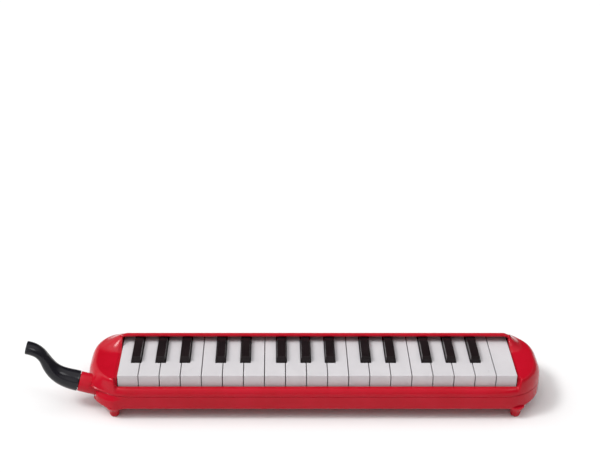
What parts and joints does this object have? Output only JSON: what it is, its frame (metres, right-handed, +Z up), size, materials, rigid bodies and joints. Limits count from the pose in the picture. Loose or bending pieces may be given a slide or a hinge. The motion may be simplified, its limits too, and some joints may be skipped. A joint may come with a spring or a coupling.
{
  "type": "melodica",
  "caption": "Wind keyboard in a rounded glossy case, with sprung piano keys, a curved blowing mouthpiece at one end, small feet, a hand strap and a drain button.",
  "frame": {"origin": "on the ground, midway along the whole length with the mouthpiece and midway across the body", "axes": "+Z up, +X along the keyboard towards the high notes, the keys' front edges face -Y, the mouthpiece is at the -X end"},
  "size_m": [0.4841, 0.1, 0.0691],
  "materials": {
    "red_case": "moulded, glossy red",
    "white_key": "moulded, satin off-white",
    "black_key": "moulded, glossy black",
    "black_mouthpiece": "moulded, glossy black",
    "chest_plastic": "moulded, matte",
    "steel": "plated",
    "reed_brass": "stamped",
    "rubber": "matte",
    "felt": "felt",
    "strap_webbing": "woven webbing"
  },
  "bodies": {
    "case": {"case_screw_1": "steel", "case_screw_2": "steel", "case_screw_3": "steel", "case_screw_4": "steel", "chest_gasket": "rubber", "drain_spring": "steel", "hand_strap": "strap_webbing", "inlet_duct": "rubber", "key_guide_rail": "chest_plastic", "key_spring_comb": "steel", "key_stop_felt": "felt", "lower_case": "red_case", "mouthpiece_socket": "red_case", "pivot_shaft": "steel", "reed_plate_high": "reed_brass", "reed_plate_low": "reed_brass", "strap_bracket_left": "steel", "strap_bracket_right": "steel", "strap_screw_left": "steel", "strap_screw_right": "steel", "upper_case": "red_case", "wind_chest": "chest_plastic", "wind_chest_cover": "chest_plastic"},
    "white_key_F3": {"white_key_F3": "white_key"},
    "black_key_Fs3": {"black_key_Fs3": "black_key"},
    "white_key_G3": {"white_key_G3": "white_key"},
    "black_key_Gs3": {"black_key_Gs3": "black_key"},
    "white_key_A3": {"white_key_A3": "white_key"},
    "black_key_As3": {"black_key_As3": "black_key"},
    "white_key_B3": {"white_key_B3": "white_key"},
    "white_key_C4": {"white_key_C4": "white_key"},
    "black_key_Cs4": {"black_key_Cs4": "black_key"},
    "white_key_D4": {"white_key_D4": "white_key"},
    "black_key_Ds4": {"black_key_Ds4": "black_key"},
    "white_key_E4": {"white_key_E4": "white_key"},
    "white_key_F4": {"white_key_F4": "white_key"},
    "black_key_Fs4": {"black_key_Fs4": "black_key"},
    "white_key_G4": {"white_key_G4": "white_key"},
    "black_key_Gs4": {"black_key_Gs4": "black_key"},
    "white_key_A4": {"white_key_A4": "white_key"},
    "black_key_As4": {"black_key_As4": "black_key"},
    "white_key_B4": {"white_key_B4": "white_key"},
    "white_key_C5": {"white_key_C5": "white_key"},
    "black_key_Cs5": {"black_key_Cs5": "black_key"},
    "white_key_D5": {"white_key_D5": "white_key"},
    "black_key_Ds5": {"black_key_Ds5": "black_key"},
    "white_key_E5": {"white_key_E5": "white_key"},
    "white_key_F5": {"white_key_F5": "white_key"},
    "black_key_Fs5": {"black_key_Fs5": "black_key"},
    "white_key_G5": {"white_key_G5": "white_key"},
    "black_key_Gs5": {"black_key_Gs5": "black_key"},
    "white_key_A5": {"white_key_A5": "white_key"},
    "black_key_As5": {"black_key_As5": "black_key"},
    "white_key_B5": {"white_key_B5": "white_key"},
    "white_key_C6": {"white_key_C6": "white_key"},
    "mouthpiece": {"mouthpiece": "black_mouthpiece", "mouthpiece_seal": "rubber"},
    "drain_button": {"drain_button": "black_mouthpiece", "drain_valve_pin": "steel", "drain_valve_seal": "rubber"}
  },
  "joints": [
    {"name": "white_key_F3_hinge", "type": "hinge", "parent": "case", "child": "white_key_F3", "pos_m": [-0.1458, 0.01, 0.035], "axis": [1, 0, 0], "range_deg": [0, 4.2], "stiffness_Nm_per_rad": 0.25, "springref_deg": -6.88, "deforming": ["key_spring_comb"]},
    {"name": "black_key_Fs3_hinge", "type": "hinge", "parent": "case", "child": "black_key_Fs3", "pos_m": [-0.13975, 0.01, 0.035], "axis": [1, 0, 0], "range_deg": [0, 4.2], "stiffness_Nm_per_rad": 0.25, "springref_deg": -6.88, "deforming": ["key_spring_comb"]},
    {"name": "white_key_G3_hinge", "type": "hinge", "parent": "case", "child": "white_key_G3", "pos_m": [-0.1263, 0.01, 0.035], "axis": [1, 0, 0], "range_deg": [0, 4.2], "stiffness_Nm_per_rad": 0.25, "springref_deg": -6.88, "deforming": ["key_spring_comb"]},
    {"name": "black_key_Gs3_hinge", "type": "hinge", "parent": "case", "child": "black_key_Gs3", "pos_m": [-0.11685, 0.01, 0.035], "axis": [1, 0, 0], "range_deg": [0, 4.2], "stiffness_Nm_per_rad": 0.25, "springref_deg": -6.88, "deforming": ["key_spring_comb"]},
    {"name": "white_key_A3_hinge", "type": "hinge", "parent": "case", "child": "white_key_A3", "pos_m": [-0.1068, 0.01, 0.035], "axis": [1, 0, 0], "range_deg": [0, 4.2], "stiffness_Nm_per_rad": 0.25, "springref_deg": -6.88, "deforming": ["key_spring_comb"]},
    {"name": "black_key_As3_hinge", "type": "hinge", "parent": "case", "child": "black_key_As3", "pos_m": [-0.09395, 0.01, 0.035], "axis": [1, 0, 0], "range_deg": [0, 4.2], "stiffness_Nm_per_rad": 0.25, "springref_deg": -6.88, "deforming": ["key_spring_comb"]},
    {"name": "white_key_B3_hinge", "type": "hinge", "parent": "case", "child": "white_key_B3", "pos_m": [-0.0873, 0.01, 0.035], "axis": [1, 0, 0], "range_deg": [0, 4.2], "stiffness_Nm_per_rad": 0.25, "springref_deg": -6.88, "deforming": ["key_spring_comb"]},
    {"name": "white_key_C4_hinge", "type": "hinge", "parent": "case", "child": "white_key_C4", "pos_m": [-0.0678, 0.01, 0.035], "axis": [1, 0, 0], "range_deg": [0, 4.2], "stiffness_Nm_per_rad": 0.25, "springref_deg": -6.88, "deforming": ["key_spring_comb"]},
    {"name": "black_key_Cs4_hinge", "type": "hinge", "parent": "case", "child": "black_key_Cs4", "pos_m": [-0.06035, 0.01, 0.035], "axis": [1, 0, 0], "range_deg": [0, 4.2], "stiffness_Nm_per_rad": 0.25, "springref_deg": -6.88, "deforming": ["key_spring_comb"]},
    {"name": "white_key_D4_hinge", "type": "hinge", "parent": "case", "child": "white_key_D4", "pos_m": [-0.0483, 0.01, 0.035], "axis": [1, 0, 0], "range_deg": [0, 4.2], "stiffness_Nm_per_rad": 0.25, "springref_deg": -6.88, "deforming": ["key_spring_comb"]},
    {"name": "black_key_Ds4_hinge", "type": "hinge", "parent": "case", "child": "black_key_Ds4", "pos_m": [-0.03705, 0.01, 0.035], "axis": [1, 0, 0], "range_deg": [0, 4.2], "stiffness_Nm_per_rad": 0.25, "springref_deg": -6.88, "deforming": ["key_spring_comb"]},
    {"name": "white_key_E4_hinge", "type": "hinge", "parent": "case", "child": "white_key_E4", "pos_m": [-0.0288, 0.01, 0.035], "axis": [1, 0, 0], "range_deg": [0, 4.2], "stiffness_Nm_per_rad": 0.25, "springref_deg": -6.88, "deforming": ["key_spring_comb"]},
    {"name": "white_key_F4_hinge", "type": "hinge", "parent": "case", "child": "white_key_F4", "pos_m": [-0.0093, 0.01, 0.035], "axis": [1, 0, 0], "range_deg": [0, 4.2], "stiffness_Nm_per_rad": 0.25, "springref_deg": -6.88, "deforming": ["key_spring_comb"]},
    {"name": "black_key_Fs4_hinge", "type": "hinge", "parent": "case", "child": "black_key_Fs4", "pos_m": [-0.00325, 0.01, 0.035], "axis": [1, 0, 0], "range_deg": [0, 4.2], "stiffness_Nm_per_rad": 0.25, "springref_deg": -6.88, "deforming": ["key_spring_comb"]},
    {"name": "white_key_G4_hinge", "type": "hinge", "parent": "case", "child": "white_key_G4", "pos_m": [0.0102, 0.01, 0.035], "axis": [1, 0, 0], "range_deg": [0, 4.2], "stiffness_Nm_per_rad": 0.25, "springref_deg": -6.88, "deforming": ["key_spring_comb"]},
    {"name": "black_key_Gs4_hinge", "type": "hinge", "parent": "case", "child": "black_key_Gs4", "pos_m": [0.01965, 0.01, 0.035], "axis": [1, 0, 0], "range_deg": [0, 4.2], "stiffness_Nm_per_rad": 0.25, "springref_deg": -6.88, "deforming": ["key_spring_comb"]},
    {"name": "white_key_A4_hinge", "type": "hinge", "parent": "case", "child": "white_key_A4", "pos_m": [0.0297, 0.01, 0.035], "axis": [1, 0, 0], "range_deg": [0, 4.2], "stiffness_Nm_per_rad": 0.25, "springref_deg": -6.88, "deforming": ["key_spring_comb"]},
    {"name": "black_key_As4_hinge", "type": "hinge", "parent": "case", "child": "black_key_As4", "pos_m": [0.04255, 0.01, 0.035], "axis": [1, 0, 0], "range_deg": [0, 4.2], "stiffness_Nm_per_rad": 0.25, "springref_deg": -6.88, "deforming": ["key_spring_comb"]},
    {"name": "white_key_B4_hinge", "type": "hinge", "parent": "case", "child": "white_key_B4", "pos_m": [0.0492, 0.01, 0.035], "axis": [1, 0, 0], "range_deg": [0, 4.2], "stiffness_Nm_per_rad": 0.25, "springref_deg": -6.88, "deforming": ["key_spring_comb"]},
    {"name": "white_key_C5_hinge", "type": "hinge", "parent": "case", "child": "white_key_C5", "pos_m": [0.0687, 0.01, 0.035], "axis": [1, 0, 0], "range_deg": [0, 4.2], "stiffness_Nm_per_rad": 0.25, "springref_deg": -6.88, "deforming": ["key_spring_comb"]},
    {"name": "black_key_Cs5_hinge", "type": "hinge", "parent": "case", "child": "black_key_Cs5", "pos_m": [0.07615, 0.01, 0.035], "axis": [1, 0, 0], "range_deg": [0, 4.2], "stiffness_Nm_per_rad": 0.25, "springref_deg": -6.88, "deforming": ["key_spring_comb"]},
    {"name": "white_key_D5_hinge", "type": "hinge", "parent": "case", "child": "white_key_D5", "pos_m": [0.0882, 0.01, 0.035], "axis": [1, 0, 0], "range_deg": [0, 4.2], "stiffness_Nm_per_rad": 0.25, "springref_deg": -6.88, "deforming": ["key_spring_comb"]},
    {"name": "black_key_Ds5_hinge", "type": "hinge", "parent": "case", "child": "black_key_Ds5", "pos_m": [0.09945, 0.01, 0.035], "axis": [1, 0, 0], "range_deg": [0, 4.2], "stiffness_Nm_per_rad": 0.25, "springref_deg": -6.88, "deforming": ["key_spring_comb"]},
    {"name": "white_key_E5_hinge", "type": "hinge", "parent": "case", "child": "white_key_E5", "pos_m": [0.1077, 0.01, 0.035], "axis": [1, 0, 0], "range_deg": [0, 4.2], "stiffness_Nm_per_rad": 0.25, "springref_deg": -6.88, "deforming": ["key_spring_comb"]},
    {"name": "white_key_F5_hinge", "type": "hinge", "parent": "case", "child": "white_key_F5", "pos_m": [0.1272, 0.01, 0.035], "axis": [1, 0, 0], "range_deg": [0, 4.2], "stiffness_Nm_per_rad": 0.25, "springref_deg": -6.88, "deforming": ["key_spring_comb"]},
    {"name": "black_key_Fs5_hinge", "type": "hinge", "parent": "case", "child": "black_key_Fs5", "pos_m": [0.13325, 0.01, 0.035], "axis": [1, 0, 0], "range_deg": [0, 4.2], "stiffness_Nm_per_rad": 0.25, "springref_deg": -6.88, "deforming": ["key_spring_comb"]},
    {"name": "white_key_G5_hinge", "type": "hinge", "parent": "case", "child": "white_key_G5", "pos_m": [0.1467, 0.01, 0.035], "axis": [1, 0, 0], "range_deg": [0, 4.2], "stiffness_Nm_per_rad": 0.25, "springref_deg": -6.88, "deforming": ["key_spring_comb"]},
    {"name": "black_key_Gs5_hinge", "type": "hinge", "parent": "case", "child": "black_key_Gs5", "pos_m": [0.15615, 0.01, 0.035], "axis": [1, 0, 0], "range_deg": [0, 4.2], "stiffness_Nm_per_rad": 0.25, "springref_deg": -6.88, "deforming": ["key_spring_comb"]},
    {"name": "white_key_A5_hinge", "type": "hinge", "parent": "case", "child": "white_key_A5", "pos_m": [0.1662, 0.01, 0.035], "axis": [1, 0, 0], "range_deg": [0, 4.2], "stiffness_Nm_per_rad": 0.25, "springref_deg": -6.88, "deforming": ["key_spring_comb"]},
    {"name": "black_key_As5_hinge", "type": "hinge", "parent": "case", "child": "black_key_As5", "pos_m": [0.17905, 0.01, 0.035], "axis": [1, 0, 0], "range_deg": [0, 4.2], "stiffness_Nm_per_rad": 0.25, "springref_deg": -6.88, "deforming": ["key_spring_comb"]},
    {"name": "white_key_B5_hinge", "type": "hinge", "parent": "case", "child": "white_key_B5", "pos_m": [0.1857, 0.01, 0.035], "axis": [1, 0, 0], "range_deg": [0, 4.2], "stiffness_Nm_per_rad": 0.25, "springref_deg": -6.88, "deforming": ["key_spring_comb"]},
    {"name": "white_key_C6_hinge", "type": "hinge", "parent": "case", "child": "white_key_C6", "pos_m": [0.2052, 0.01, 0.035], "axis": [1, 0, 0], "range_deg": [0, 4.2], "stiffness_Nm_per_rad": 0.25, "springref_deg": -6.88, "deforming": ["key_spring_comb"]},
    {"name": "mouthpiece_slide", "type": "slide", "parent": "case", "child": "mouthpiece", "axis": [-0.9613, 0, 0.2756], "range_m": [0, 0.03]},
    {"name": "drain_button_slide", "type": "slide", "parent": "case", "child": "drain_button", "axis": [0, -1, 0], "range_m": [0, 0.0015], "stiffness_N_per_m": 300, "springref_m": -0.004, "deforming": ["drain_spring"]}
  ]
}
